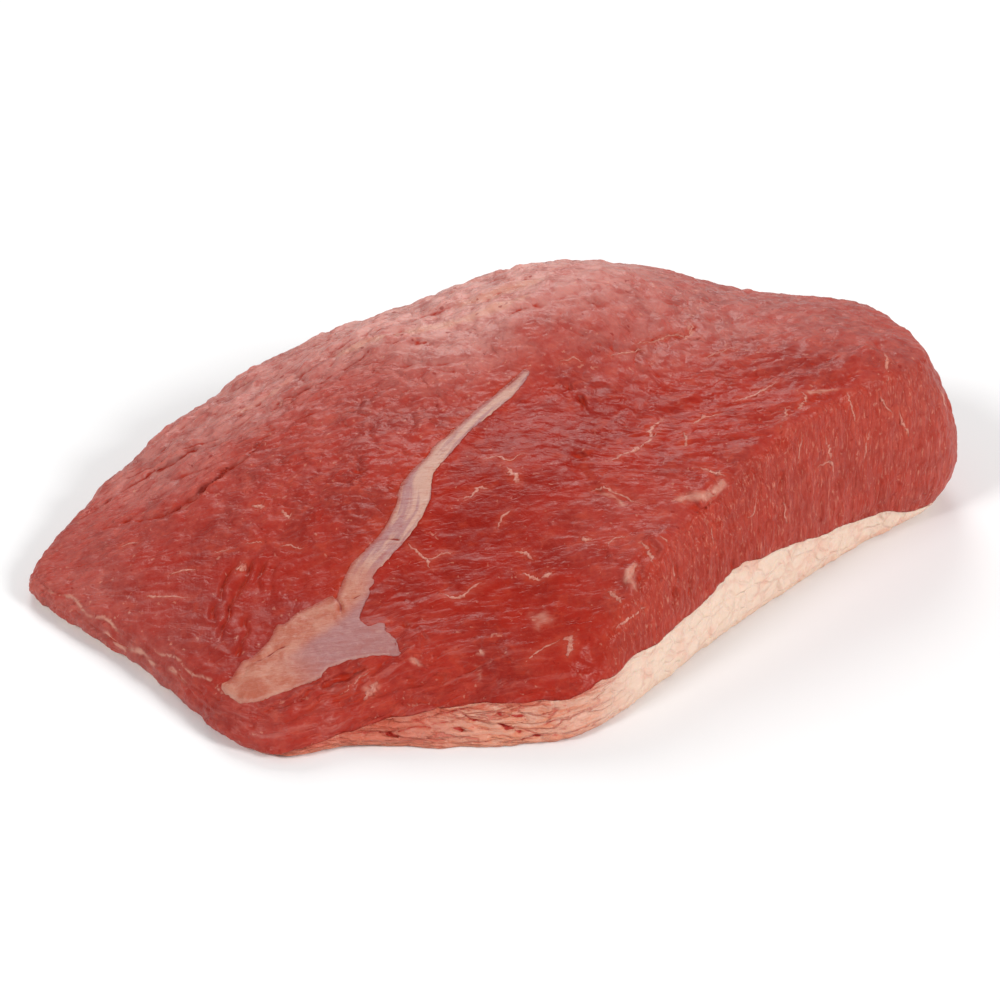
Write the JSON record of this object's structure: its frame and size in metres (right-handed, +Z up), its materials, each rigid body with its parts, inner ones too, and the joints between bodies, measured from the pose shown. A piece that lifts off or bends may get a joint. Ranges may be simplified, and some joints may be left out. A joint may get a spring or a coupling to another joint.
{
  "type": "raw picanha",
  "caption": "Raw picanha, the rump cap of beef, lying on its fat: a marbled red slab that tapers to a thin tip, with a fat cap below and a pale seam of fat and silverskin across the top.",
  "frame": {"origin": "middle of the bounding box in X and Y, on the surface that the fat cap's flat underside rests on", "axes": "+X from the thin tip to the thick end, the longest way; +Y from the trimmed front edge with the seam's foot to the rounded back; +Z up, the lean side"},
  "size_m": [0.2702, 0.1982, 0.0621],
  "materials": {
    "lean": "moist raw beef, red, satin with wet highlights",
    "fat": "raw beef fat, cream with pink patches, waxy",
    "silverskin": "seam fat and silverskin, pale pink to lavender, moist"
  },
  "bodies": {
    "root": {"lean": "lean", "fat_cap": "fat", "seam": "silverskin"}
  },
  "joints": []
}
